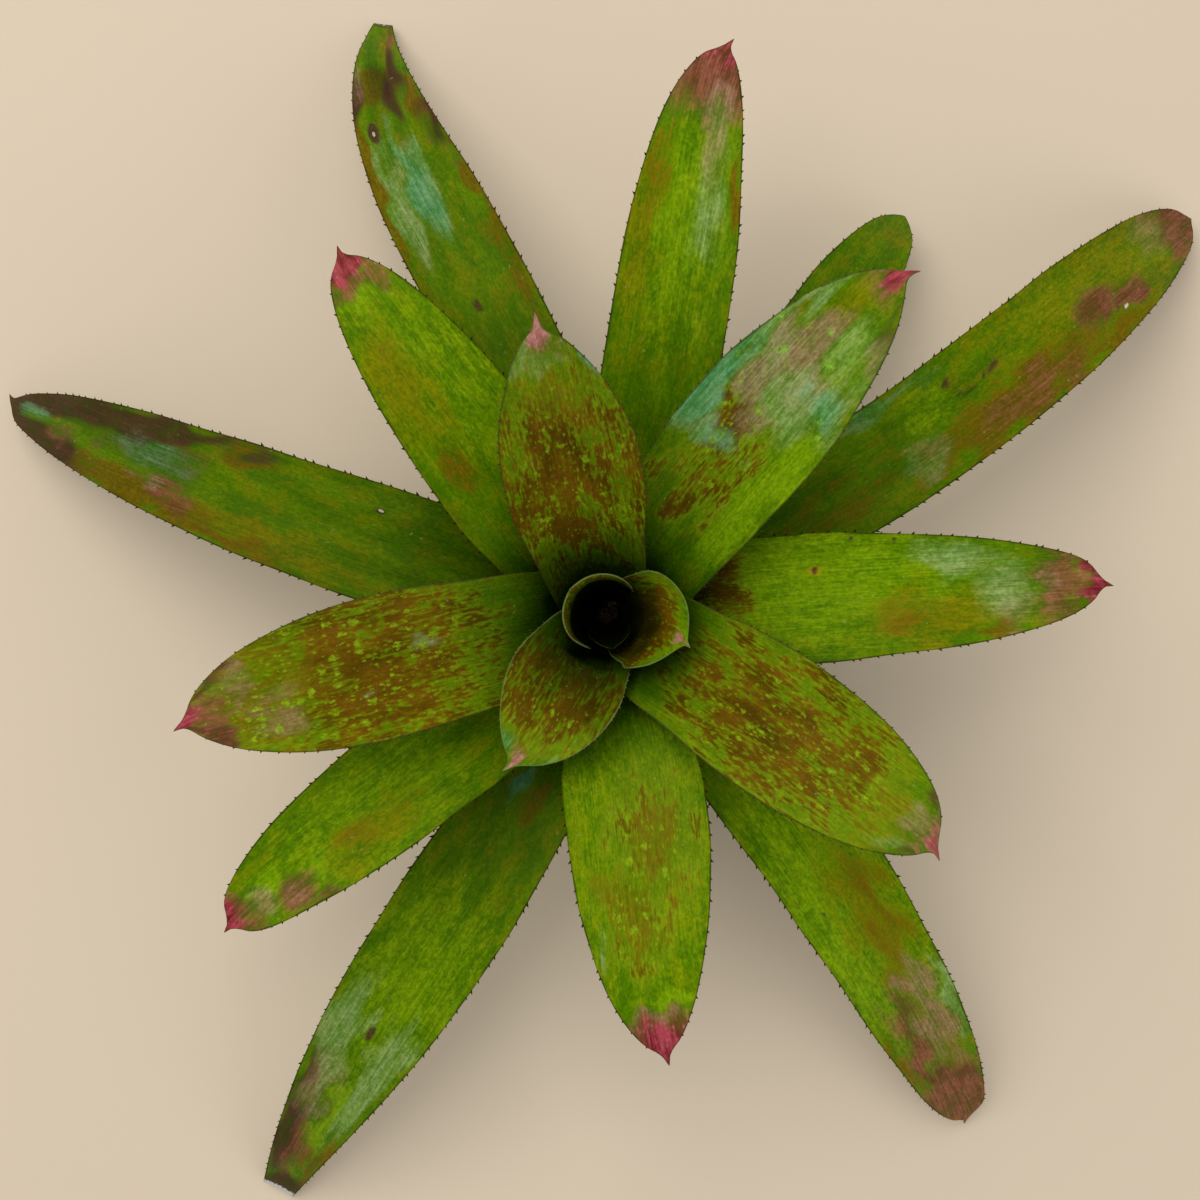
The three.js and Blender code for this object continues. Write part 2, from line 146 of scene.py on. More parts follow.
# Places are along the blade, 0 at the sheath's end and 1 at the tip, and across it, -1 to 1,
# anticlockwise positive. A mark is (along, across, half-length, half-breadth, strength) in hundredths,
# and its strength is 100 unless given.
# Two kinds are painted shade, not pigment: a darkening towards the sheath where the leaves shadow one
# another, and near-black shadow down in the cup. The mist, teal and mauve kinds are the waxy bloom with
# painted sky glare and reflections on it.
KINDS = ("brown", "rust", "olive", "purple", "maroon", "pink", "crimson", "mist", "teal", "mauve", "painted_shade",
         "painted_cup_shadow", "lime", "spot")
OTHERS = ("edge", "under", "horn", "pale", "light", "dry", "wound", "scab", "halo")
TIP = 102
MARKS = {
    # The youngest leaf sits deep in the cup and is painted near-black all over as shadow
    "heart_leaf_1": dict(painted_cup_shadow=[(50, 0, 300, 900, 300)]),
    "heart_leaf_2": dict(
        painted_shade=[(35, 0, 20, 900, 80)], painted_cup_shadow=[(0, 0, 22, 900, 300)], brown=[(80, 0, 50, 300, 55)],
    ),
    "heart_leaf_3": dict(
        painted_shade=[(10, -10, 25, 120, 90)], lime=[(90, 50, 20, 60, 60), (85, -70, 20, 40, 50)],
        brown=[(20, -10, 60, 100, 80)], pink=[(100, -10, 16, 20, 90)],
    ),
    "heart_leaf_4": dict(
        painted_shade=[(5, 0, 40, 160)], painted_cup_shadow=[(-2, 10, 7, 70)], olive=[(84, 0, 10, 90, 50)],
        brown=[(38, 0, 46, 160, 62)], maroon=[(95, 10, 9, 60, 60)], mist=[(86, 95, 6, 12, 60)],
        teal=[(88, -75, 7, 30, 60)], pink=[(TIP, 15, 10, 60)],
    ),
    "inner_leaf_1": dict(
        painted_shade=[(0, 0, 16, 200, 80)], lime=[(25, -40, 10, 35, 60), (66, 70, 20, 25, 50)],
        olive=[(80, 0, 10, 100, 60)],
        brown=[(42, 10, 50, 180, 50), (50, 15, 30, 50, 80), (20, 20, 10, 50, 85)],
        maroon=[(94, 10, 5, 80, 50)], mist=[(90, 10, 3.5, 60, 50), (92, 80, 5, 30, 70)],
        teal=[(87, -97, 4, 15)], pink=[(TIP, 15, 8, 100, 110)],
    ),
    "inner_leaf_2": dict(
        painted_shade=[(0, 0, 15, 200, 80)], lime=[(50, 62, 10, 20, 60), (30, -85, 25, 20, 50), (79, 35, 4, 30, 70)],
        olive=[(83, -10, 7, 100, 60)], rust=[(90, -20, 7, 100, 50)],
        brown=[(46, -5, 42, 115, 56), (40, -10, 25, 50, 72), (70, 10, 14, 90, 55)],
        purple=[(95, -90, 5, 25, 70), (93, 95, 5, 12, 70)], maroon=[(96, 10, 4, 80, 50)],
        mauve=[(92, 15, 3.5, 40, 60)], mist=[(90, -70, 5, 20, 40)], pink=[(TIP, 10, 7, 110, 70)],
        crimson=[(TIP, 20, 6.5, 120, 60)],
    ),
    "inner_leaf_3": dict(
        painted_shade=[(0, 0, 20, 200, 80)],
        lime=[
            (85.5, 15, 1.5, 12, 200), (77, 15, 1, 7, 200), (60, -25, 1.5, 8, 200), (94, -50, 2.5, 20),
            (15, 50, 12, 40, 40),
        ],
        olive=[(80, 0, 14, 120, 70)], rust=[(86, 0, 12, 130, 70)],
        brown=[(55, -10, 42, 150, 62), (52, 10, 20, 50, 80), (76, 10, 18, 100, 66)],
        purple=[(95, 75, 5, 30, 120), (93, -90, 7, 15, 80)], maroon=[(95, 20, 5, 100, 80)],
        mauve=[(77, 30, 7, 40, 40), (86, -50, 5, 50, 45)],
        mist=[(35, -20, 3.5, 10, 90), (54, 30, 3, 6, 50)], crimson=[(TIP, 10, 5, 200, 120)],
    ),
    "inner_leaf_4": dict(
        painted_shade=[(0, 10, 15, 200, 65), (15, 50, 10, 35, 50)],
        lime=[
            (25, -70, 20, 35), (45, -75, 12, 25), (40, -10, 30, 100, 40), (77, -40, 10, 22, 80),
            (92, 30, 4, 30, 60),
        ],
        olive=[(86, 30, 10, 50, 70)],
        brown=[
            (16, 25, 7, 20, 75), (24, 72, 5, 20, 60), (30, 10, 16, 50, 48), (35, -30, 14, 14, 60),
            (47, 35, 5.5, 35), (50, -5, 4, 20, 60),
        ],
        spot=[(68, 0, 12, 150)], purple=[(88, -85, 5, 25, 60)], maroon=[(95, 30, 4, 100, 50)],
        mauve=[
            (70, 42, 8, 33, 130), (57.5, 40, 5.5, 25, 110), (64, -15, 6, 28, 90), (77, 25, 8, 30, 80),
            (51, 10, 5, 25, 60), (40, 65, 3, 15, 50), (83, -80, 5, 20, 50),
        ],
        mist=[
            (40, 50, 4, 25, 50), (55, -12, 6, 22, 90), (78, 100, 14, 20), (66, 60, 12, 30, 40),
            (66, -85, 12, 25, 40), (58, -10, 10, 45, 90), (78, -40, 10, 40, 50),
        ],
        teal=[(48, 95, 12, 25, 130), (62, 95, 8, 15, 70), (40, 35, 4.5, 40, 60), (64, -55, 4.5, 25, 80)],
        crimson=[(TIP, 40, 6.5, 120, 120)],
    ),
    "middle_leaf_1": dict(
        painted_shade=[(0, 0, 14, 200, 60)],
        lime=[
            (45, 0, 40, 140, 70), (48.5, 30, 2, 15), (49, -55, 3, 15, 80), (84.5, 35, 2.2, 60, 140),
            (89, 70, 2, 20),
        ],
        olive=[(50, 0, 36, 140, 35)],
        rust=[(40, 30, 14, 40, 68), (60, -10, 15, 45, 70), (56, -50, 10, 25, 70)],
        brown=[(42, 20, 20, 60, 57), (62, -15, 15, 50, 58)], maroon=[(92, 0, 4.5, 200, 95)],
        mauve=[(89, -10, 2, 80, 40)], mist=[(70, -85, 4, 12, 60)], crimson=[(TIP, 0, 9.5, 200, 120)],
    ),
    "middle_leaf_2": dict(
        painted_shade=[(0, 0, 18, 200, 40)],
        lime=[(60, 0, 30, 140, 50), (86.5, 20, 2.2, 80, 90), (82, 55, 1, 40, 70), (93, -50, 2, 20)],
        olive=[(62, 50, 20, 60, 80)], rust=[(34, 45, 12, 30, 60), (68, 30, 8, 40, 30)],
        maroon=[(91, 0, 3.5, 130, 80)], crimson=[(TIP, 20, 8.5, 180, 120)],
    ),
    "middle_leaf_3": dict(
        painted_shade=[(3, 10, 8, 70, 50)], lime=[(36, 20, 30, 100, 80), (94.5, 40, 1.5, 15, 120), (93, -40, 2, 12)],
        olive=[(58, -40, 18, 50, 80)],
        rust=[(46, -30, 3, 25, 45), (53, -50, 8, 30, 60), (62, -40, 3, 20, 35), (73, -85, 6, 14, 90)],
        brown=[(5, 20, 7, 50, 75)], maroon=[(90, -10, 6, 170, 85)],
        mauve=[(78, -40, 5, 50, 45), (87, 0, 3, 50, 40)], mist=[(63, 62, 9, 30, 75), (75, 10, 7, 70, 60)],
        crimson=[(TIP, 0, 6.5, 200, 110)],
    ),
    "middle_leaf_4": dict(
        painted_shade=[(10, -60, 30, 60, 30)],
        lime=[
            (55, 10, 30, 100, 60), (73, 35, 2, 35, 180), (85, -15, 3.5, 25, 180), (92, -20, 3, 12, 90),
            (94.5, 40, 1.2, 20),
        ],
        olive=[(58, 40, 14, 45, 80)], rust=[(42, 35, 8, 25, 50), (60, 40, 8, 30, 40)],
        maroon=[(81, 45, 4.5, 40, 90), (77, 95, 6, 12, 80), (96, 0, 3.5, 150, 90)],
        mauve=[(81, 45, 3, 25, 25), (90, 20, 3, 60, 50)], crimson=[(TIP, 0, 5.5, 200)],
    ),
    "middle_leaf_5": dict(
        painted_shade=[(0, 0, 25, 200, 40)],
        lime=[(62, 10, 25, 100, 60), (61, 35, 4.5, 25, 70), (69, -30, 1.8, 15, 120), (75, -20, 2, 12)],
        olive=[(60, 75, 20, 35, 70)], rust=[(75, 70, 14, 30, 50), (70, -92, 10, 12)],
        purple=[(96, 10, 6, 180)], maroon=[(95, 0, 9, 200, 120)],
        mauve=[(78, -35, 8, 30, 50), (89, -40, 5, 50, 60)], mist=[(64, -42, 8, 25, 80)],
        crimson=[(TIP, 0, 5, 200, 80)],
    ),
    "outer_leaf_1": dict(
        painted_shade=[(10, 0, 8, 200, 30)],
        lime=[(42, 0, 30, 140, 75), (64, 85, 3, 15, 70), (60.5, -72, 2.2, 20, 140), (90, -90, 5, 12, 70)],
        olive=[(48, 25, 16, 60, 90), (80, 40, 10, 40, 70)],
        rust=[(46, 40, 12, 25, 60), (55, 10, 12, 30, 50), (78, -90, 10, 20, 70)],
        purple=[(83, -50, 5, 15, 60), (87, 20, 2.5, 60, 70)],
        maroon=[(70, 20, 10, 50, 50), (70, -25, 10, 30, 90), (80, -45, 9, 30, 110), (95, 0, 12, 140, 150)],
        mauve=[(64, 35, 6, 30, 70), (74, 35, 7, 45, 60)], mist=[(68, 92, 8, 18, 90)],
    ),
    "outer_leaf_2": dict(
        painted_shade=[(0, 0, 16, 200, 50)], olive=[(38, 65, 16, 35, 80)],
        rust=[(44, 85, 14, 20, 80), (44, -70, 5, 20, 80), (64, 70, 16, 40)],
        purple=[
            (63, -20, 12, 50, 55), (47, -93, 10, 12, 80), (56, -80, 8, 25), (67, -65, 10, 40, 130),
            (80, -75, 12, 50, 140), (90, -70, 10, 50, 130), (88, 80, 11, 50, 190), (99, 20, 5, 200, 120),
        ],
        maroon=[(57, 50, 5, 25, 90), (82, 30, 4, 30, 40)], mauve=[(60, 42, 3, 12, 60)],
        teal=[(62, -15, 9, 35, 40), (94, -15, 5, 35, 60)],
    ),
    "outer_leaf_3": dict(
        painted_shade=[(8, 20, 18, 200, 40)], lime=[(38, 30, 4, 40, 50), (68, 45, 16, 40, 50), (86, 10, 8, 50, 60)],
        olive=[(74, 0, 28, 200, 60), (80, 85, 20, 15, 70)],
        rust=[(50, -55, 20, 50), (20, -30, 12, 50, 50), (68, -85, 16, 20, 70)],
        purple=[
            (44.5, 20, 1.4, 7, 130), (43, 45, 1.6, 5, 120), (47.5, 20, 0.8, 4, 120),
            (50.5, 12, 1.8, 6, 120), (71, -15, 3.5, 20, 40), (77, -50, 3, 14, 70), (99, 90, 5, 40, 80),
        ],
        maroon=[(53, -60, 12, 35, 50), (71, -15, 5.5, 35, 95), (78, -42, 5, 25, 90), (99, 10, 8, 160, 130)],
        mauve=[(90, 30, 5, 60, 40)], mist=[(33, -40, 4, 35, 40)], teal=[(30, 85, 12, 15, 35)],
    ),
    "outer_leaf_4": dict(
        painted_shade=[(8, -20, 20, 120, 50)], lime=[(48, 10, 20, 120, 65), (75, 30, 12, 35), (93, 20, 3, 20, 60)],
        rust=[(10, 20, 6, 30, 60), (22, 40, 5, 20, 30), (87, 25, 6, 30, 70), (88, 85, 9, 25, 80)],
        purple=[(72, -80, 8, 20, 80), (85, -65, 10, 40, 140), (98, 10, 4, 150, 110), (76, 5, 3, 6, 70)],
        maroon=[(88, -20, 7, 40, 90)], mauve=[(72, -40, 8, 40, 60)],
        mist=[(60, 55, 7, 30), (71, 60, 9, 20, 90), (58, -60, 8, 35), (68, -35, 7, 20, 60)],
        teal=[(9, -25, 2.5, 12)],
    ),
    "outer_leaf_5": dict(
        painted_shade=[(5, 0, 25, 200, 40), (84, 10, 5, 50, 70)], olive=[(96, -40, 6, 80, 60)],
        rust=[
            (60, 97, 22, 16), (50, -98, 20, 10, 90), (77, -75, 8, 25), (82, 20, 5, 80, 90),
            (36, -80, 10, 25, 60),
        ],
        purple=[(78, -15, 6, 22, 130), (86, -50, 8, 25, 110), (68, -92, 7, 22, 110), (79, 92, 5, 22, 130)],
        maroon=[(96, -80, 5, 35, 80)], mauve=[(84, 90, 5, 20, 60)],
        mist=[(60, -20, 7, 12, 80), (58, 62, 12, 20, 90)], teal=[(57, 5, 9, 30, 90), (66, 20, 6, 14, 70)],
    ),
    "outer_leaf_6": dict(
        painted_shade=[(30, 0, 40, 200, 30)], olive=[(95, -30, 10, 60, 40)], rust=[(TIP, 0, 3, 200, 60)],
    ),
}

# Old wounds: (leaf, along, across, half-length mm, half-breadth mm, kind), a bruise unless it is given.
WOUNDS = [
    ("outer_leaf_2", 0.205, -0.57, 1.1, 0.5, "hole"),
    ("outer_leaf_5", 0.715, 0.57, 1.4, 0.5, "hole"),
    ("outer_leaf_5", 0.715, 0.57, 3.6, 1.5),
    ("outer_leaf_5", 0.335, 0.15, 2.0, 0.8),
    ("outer_leaf_3", 0.75, -0.57, 1.2, 0.5, "scab"),
    ("outer_leaf_4", 0.573, -0.03, 2.8, 0.8),
    ("outer_leaf_4", 0.61, -0.03, 1.5, 0.4),
    ("outer_leaf_4", 0.49, -0.17, 0.7, 0.4),
    ("middle_leaf_3", 0.29, 0.42, 1.2, 0.7, "ring"),
    ("middle_leaf_3", 0.253, 0.1, 0.6, 0.4),
    ("middle_leaf_3", 0.39, 0.9, 0.8, 0.4),
    ("middle_leaf_3", 0.49, 0.9, 0.7, 0.4),
    ("outer_leaf_1", 0.425, -0.52, 0.7, 0.5),
]

MARK_SWAY = SimpleNamespace(along=0.012, across=0.09)  # how far the marks' outlines stray
SEED = 20


# ---- Leaf form, as in the solids ----

def mix(a, b, x):
    return a + (b - a) * x


def ease(x):
    x = np.clip(x, 0, 1)
    return x * x * x * (x * (6 * x - 15) + 10)


def unit(vectors):
    return vectors / np.maximum(np.linalg.norm(vectors, axis=-1, keepdims=True), 1e-12)


def along(one, s):
    """How far along the blade, 0 at the end of the sheath and 1 at the tip, a distance is."""
    return np.clip((s - one.sheath) / (one.length - one.sheath), 0, 1)


def bent(one, s):
    return ease((s - one.sheath) / one.bend + 0.5)


def seat(one):
    """Radius and height of the leaf's base."""
    z = mix(STEM.top_height - STEM.seat_margin, STEM.shoulder_height + STEM.seat_margin, one.age)
    down = (STEM.top_height - z) / (STEM.top_height - STEM.shoulder_height)
    return mix(STEM.top_radius, STEM.shoulder_radius, down) + BLADE.seat_gap + one.thickness / 2, z


def directions(slope, heading):
    flat = np.cos(slope)
    return np.stack([flat * np.cos(heading), flat * np.sin(heading), np.sin(slope)], -1)


def course(one, s):
    """The midrib's slope and heading, in radians."""
    t = along(one, s)
    slope = mix(one.lean, mix(one.rise, one.fall, t), bent(one, s))
    heading = one.azimuth + one.veer * bent(one, s) + one.swing * t + one.tail * t**3
    return np.radians(slope), np.radians(heading)


def midrib(one, step=0.5):
    radius, height = seat(one)
    azimuth = math.radians(one.azimuth)
    starts = np.arange(0, one.length + one.spine, step)
    moves = directions(*course(one, starts + step / 2)) * step
    first = [[radius * math.cos(azimuth), radius * math.sin(azimuth), height]]
    points = np.concatenate([first, moves]).cumsum(0)
    places = np.arange(len(points)) * step
    return lambda s: np.stack([np.interp(s, places, points[:, k]) for k in range(3)], -1)


def half_width(one, s):
    belly_at = one.sheath * BLADE.belly_place
    base = math.radians(BLADE.base_wrap) * seat(one)[0]
    t = along(one, s)
    past = np.clip((t - one.widest) / (1 - one.widest), 0, 1)
    if one.cut:
        past = past * math.sqrt(1 - (one.cut / one.width) ** (1 / one.blunt))
    blade = one.width / 2 * (1 - past**2) ** one.blunt
    if not one.cut:
        blade = np.maximum(one.spine_root, blade)
    blade = np.where(t < one.widest, mix(one.waist, one.width / 2, ease(t / one.widest)), blade)
    sheath = mix(one.belly, one.waist, ease((s - belly_at) / (one.sheath - belly_at)))
    sheath = np.where(s < belly_at, mix(base, one.belly, ease(s / belly_at)), sheath)
    beyond = np.clip((s - one.length) / max(one.spine, 1e-6), 0, 1)
    return np.where(t <= 0, sheath, blade) * np.where(s > one.length, (1 - beyond) ** BLADE.spine_taper, 1)


def held_width(one, s):
    """Half the width, held to the sheath's greatest wrap round the axis."""
    middle = one.rib(s)
    wrap = math.radians(BLADE.most_wrap) * np.hypot(middle[..., 0], middle[..., 1])
    return np.minimum(half_width(one, s), wrap)


def drawn_aside(one, s):
    """How far a curled spine draws the leaf to one side."""
    turned = (s - one.length + CURL.reach) / (CURL.reach + one.spine)
    return one.aside * np.maximum(turned, 0) ** CURL.sharpness


def surface(one, s, v):
    """Points of the leaf's middle surface: s along the midrib and v across it, in mm."""
    middle = one.rib(s)
    radius = np.hypot(middle[..., 0], middle[..., 1])
    turn = np.arctan2(middle[..., 1], middle[..., 0]) + v / radius
    funnel = np.stack([radius * np.cos(turn), radius * np.sin(turn), middle[..., 2]], -1)
    slope, heading = course(one, s)
    side = np.stack([-np.sin(heading), np.cos(heading), np.zeros_like(heading)], -1)
    up = np.cross(directions(slope, heading), side)
    breadth = np.maximum(half_width(one, s), one.waist * BLADE.least_breadth)
    bow = np.radians(mix(one.trough[0], one.trough[1], along(one, s))) / breadth
    across = side * (np.sin(bow * v) / bow)[..., None] + up * ((1 - np.cos(bow * v)) / bow)[..., None]
    opened = mix(funnel, middle + across, (one.open * bent(one, s))[..., None])
    return opened + side * drawn_aside(one, s)[..., None]


# ---- Fine skin ----

def ripple(rng, s, v, length, breadth, waves=7):
    """Smooth irregular waves of about unit height from a few sines, so long in s and so broad in v."""
    total = 0
    for _ in range(waves):
        angle, phase = rng.uniform(0, 2 * math.pi, 2)
        turns = s * math.cos(angle) / length + v * math.sin(angle) / breadth
        total = total + np.sin(2 * math.pi * turns + phase)
    return total / math.sqrt(waves / 2)


def skin_width(one, s):
    """Half the width, with the spine's root flaring out of the tip."""
    if one.cut:
        return held_width(one, s)
    end = one.length + one.spine
    reach = np.clip(end - s, 0, SKIN.flare)
    flared = np.mean([held_width(one, s + reach * share) for share in np.linspace(-1, 1, 9)], axis=0)
    blended = ease((s - one.length) / SKIN.flare / 2 + 2)  # from four to two flares before the tip
    return mix(held_width(one, s), flared, blended)


def skin_points(one, s, a, rng_seed):
    """Middle points, normals, outward and forward directions at s and across a, with the fine relief."""
    def raised(s, a):
        v = a * skin_width(one, s)
        rng = np.random.default_rng(rng_seed)
        blade = bent(one, s) * ease((one.length - s) / SKIN.calm)
        waves = ripple(rng, s, a, length=42, breadth=20 / 3, waves=5)  # so broad in half-widths
        wave = SKIN.wave * np.abs(a) ** 3 * waves
        dimples = SKIN.buckle * ripple(rng, s, v, length=26, breadth=14)
        groove = -SKIN.crease * np.exp(-((v / SKIN.crease_width) ** 2))
        return surface(one, s, v), blade * (wave + dimples + groove)

    small_s, small_a = 0.4, 0.01
    place, height = raised(s, a)
    sides = []
    for ds, da in ((small_s, 0), (0, small_a)):
        ahead, _ = raised(s + ds, a + da)
        behind, _ = raised(s - ds, a - da)
        sides.append(unit(ahead - behind))
    normal = unit(np.cross(sides[0], sides[1]))
    return place + normal * height[..., None], normal, sides[1], sides[0]


def rows_of(one):
    """Distances along the midrib of the skin's rows."""
    rows = round(one.length * SKIN.rows_per_mm)
    s = one.length * (1 - (1 - np.arange(rows + 1) / rows) ** SKIN.crowding)
    for hole in one.holes:
        s = with_hole(s, hole.s, hole.half_s)
    if one.cut:
        return s
    beyond = one.length + one.spine * np.arange(1, SKIN.spine_rows + 1) / SKIN.spine_rows
    beyond[-1] -= SKIN.stop_short * one.spine
    return np.concatenate([s, beyond])


def columns_of(one):
    """Places across the leaf, closer together towards the margins."""
    even = np.linspace(-1, 1, SKIN.columns + 1)
    a = mix(even, np.sin(even * math.pi / 2), SKIN.bunching)
    a = np.sort(np.append(a, (-SKIN.brink, SKIN.brink)))
    for hole in one.holes:
        a = with_hole(a, hole.a, hole.half_a)
    return a


def with_hole(places, centre, half):
    """Places with even ones across a hole in the stead of those that were near it."""
    across = centre + half * np.linspace(-1, 1, SKIN.hole_cells + 1)
    return np.sort(np.concatenate([places[np.abs(places - centre) > SKIN.hole_margin * half], across]))


def rounded(s, a, hole):
    """Places moved so that the square block of a hole becomes an ellipse, and how far out each is."""
    x, y = (s - hole.s) / hole.half_s, (a - hole.a) / hole.half_a
    square, circle = np.maximum(np.abs(x), np.abs(y)), np.maximum(np.hypot(x, y), 1e-9)
    drawn = mix(square / circle, 1, ease((square - 1) / 2))
    return hole.s + x * drawn * hole.half_s, hole.a + y * drawn * hole.half_a, square


def fading(r, inner, fade):
    """1 up to the inner size and 0 a fade further out."""
    return 1 - ease((r - inner) / fade)


def blot(t, a, t0, a0, half_t, half_a, strength=100):
    """One mark's strength, 0 to 1, at each point: a soft bell with a sharper edge if it is over 100."""
    r = np.hypot((100 * t - t0) / half_t, (100 * a - a0) / half_a)
    return np.minimum(strength / 100 * fading(r, inner=0, fade=1.8), 1)


class Builder:
    """Collects one leaf's points, faces and their values for the skin's material."""

    def __init__(self):
        self.points, self.place, self.faces = [], [], []
        self.values = {key: [] for key in (*KINDS, *OTHERS)}
        self.count = 0

    def add(self, points, place, **values):
        """Adds points with their place on the leaf and values, and returns their numbers."""
        flat = points.reshape(-1, 3)
        self.points.append(flat)
        self.place.append(np.broadcast_to(place, points.shape).reshape(-1, 3))
        for key, held in self.values.items():
            held.append(np.broadcast_to(values.get(key, 0.0), points.shape[:-1]).reshape(-1))
        numbers = np.arange(self.count, self.count + len(flat)).reshape(points.shape[:-1])
        self.count += len(flat)
        return numbers

    def grid(self, rows, wrap=False, flip=False, gone=()):
        """Quads between successive rows of point numbers, without those that only join gone points."""
        a, b = rows[:-1], rows[1:]
        if wrap:
            a, b = np.concatenate([a, a[:, :1]], 1), np.concatenate([b, b[:, :1]], 1)
        quads = np.stack([a[:, :-1], b[:, :-1], b[:, 1:], a[:, 1:]], -1).reshape(-1, 4)
        quads = quads[~np.isin(quads, gone).all(1)]
        self.faces.extend((quads[:, ::-1] if flip else quads).tolist())

    def mesh(self, name):
        used = np.unique(np.concatenate([np.array(face) for face in self.faces]))
        renumbered = np.zeros(self.count, int)
        renumbered[used] = np.arange(len(used))
        faces = [renumbered[face].tolist() for face in self.faces]
        mesh = bpy.data.meshes.new(name)
        mesh.from_pydata((np.concatenate(self.points)[used] * MM).tolist(), [], faces)
        mesh.shade_smooth()
        for key, held in self.values.items():
            kept = np.concatenate(held)[used].astype(np.float32)
            mesh.attributes.new(key, "FLOAT", "POINT").data.foreach_set("value", kept)
        place = np.concatenate(self.place)[used].astype(np.float32).ravel()
        mesh.attributes.new("place", "FLOAT_VECTOR", "POINT").data.foreach_set("vector", place)
        return mesh


def markings(one, s, a, rng):
    """Each kind's strength over the leaf, its marks' outlines made irregular."""
    v = a * half_width(one, s)
    t = along(one, s) + MARK_SWAY.along * ripple(rng, s, v, length=18, breadth=9)
    a = a + MARK_SWAY.across * ripple(rng, s, v, length=20, breadth=8)
    values = {kind: np.zeros_like(s) for kind in KINDS}
    for kind, marks in MARKS[one.name].items():
        for mark in marks:
            values[kind] = np.maximum(values[kind], blot(t, a, *mark))
    # The sheath, hidden in its neighbours' shadow, is painted shade all over
    sheath = fading(s / one.sheath, inner=0.75, fade=0.35)
    values["painted_shade"] = np.maximum(values["painted_shade"], sheath)
    return values


def wound_on(one, t, a, half_length, half_breadth, kind="bruise"):
    """A wound's place and size in the leaf's own terms."""
    s = mix(one.sheath, one.length, t)
    half_a = half_breadth / half_width(one, s)
    return SimpleNamespace(s=s, a=a, half_s=half_length, half_a=half_a, kind=kind)


def wound_values(one, s, a):
    """Each wound's dark body, its pale middle if it is a scab, and its yellow ring if it has one."""
    values = {key: np.zeros_like(s) for key in ("wound", "scab", "halo")}
    for wound in one.wounds:
        r = np.hypot((s - wound.s) / wound.half_s, (a - wound.a) / wound.half_a)
        values["wound"] = np.maximum(values["wound"], fading(r, inner=0.6, fade=1.2))
        if wound.kind == "scab":
            values["scab"] = np.maximum(values["scab"], fading(r, inner=0.5, fade=0.5))
        if wound.kind == "ring":
            values["halo"] = np.maximum(values["halo"], fading(r, inner=1.2, fade=1.4))
    return values


def leaf_mesh(one, number):
    rng = np.random.default_rng(SEED + number)
    relief_seed = SEED + 100 + number
    build = Builder()
    s, a = np.meshgrid(rows_of(one), columns_of(one), indexing="ij")
    blocks = []
    for hole in one.holes:
        s, a, square = rounded(s, a, hole)
        blocks.append(square < 1.01)
    place, normal, outward, _ = skin_points(one, s, a, relief_seed)
    thin = np.maximum(a**2, along(one, s))
    thickness = mix(one.thickness, SKIN.edge, thin)
    beyond = np.clip((s - one.length) / max(one.spine, 1e-6), 0, 1)
    thickness = np.where(s > one.length, SKIN.edge * mix(*SKIN.spine_edge, beyond), thickness)
    width = skin_width(one, s)
    on_leaf = np.stack([s, a * width, np.full_like(s, SKIN.pattern_step * number)], -1)
    shared = dict(
        markings(one, s, a, rng),
        **wound_values(one, s, a),
        edge=(1 - np.abs(a)) * width,
        pale=one.pale,
        light=one.light * mix(*SKIN.lightness, along(one, s)),
        horn=SKIN.spine_horn * beyond**2,
        dry=one.dry * np.clip(1 - (one.length - s) / SKIN.dry_reach, 0, 1),
    )
    shared = {key: np.broadcast_to(value, s.shape) for key, value in shared.items()}
    half = (thickness / 2)[..., None] * normal
    top = build.add(place + half, on_leaf, **shared)
    bottom = build.add(place - half, on_leaf + [0, 0, SKIN.under_step], under=1.0, **shared)
    rims = []
    for side, column in ((-1, 0), (1, -1)):
        out = side * outward[:, column] * SKIN.rim * np.minimum(1, width[:, column, None])
        strip = {key: value[:, column] for key, value in shared.items()}
        rims.append(build.add(place[:, column] + out, on_leaf[:, column], **strip))
    ring = np.concatenate([top, rims[1][:, None], bottom[:, ::-1], rims[0][:, None]], 1)
    gone = np.concatenate([sheet[block] for block in blocks for sheet in (top, bottom)] or [[]])
    build.grid(ring, wrap=True, gone=gone)
    for block in blocks:
        hole_wall(build, top, bottom, block)
    for end, flip in ((0, False), (-1, True)):
        rows = [np.concatenate([rims[0][[end]], face[end], rims[1][[end]]]) for face in (top, bottom)]
        close_end(build, *rows, flip)
    add_teeth(build, one, rng, relief_seed, number)
    return build.mesh(one.name + "_skin")


def hole_wall(build, top, bottom, block):
    """Joins the upper and the lower face round a hole."""
    rows, columns = np.nonzero(block)
    first, last, left, right = rows.min(), rows.max(), columns.min(), columns.max()
    walk = [(i, left) for i in range(first, last)] + [(last, j) for j in range(left, right)]
    walk += [(i, right) for i in range(last, first, -1)] + [(first, j) for j in range(right, left, -1)]
    around = np.array([[sheet[place] for place in walk] for sheet in (top, bottom)])
    build.grid(around, wrap=True)


def close_end(build, upper, lower, flip):
    """Closes a leaf's end between its upper and its lower row, which share their first and last point."""
    for j in range(len(upper) - 1):
        corners = [upper[j], upper[j + 1], lower[j + 1], lower[j]]
        kept = [int(c) for i, c in enumerate(corners) if c not in corners[:i]]
        build.faces.append(kept[::-1] if flip else kept)


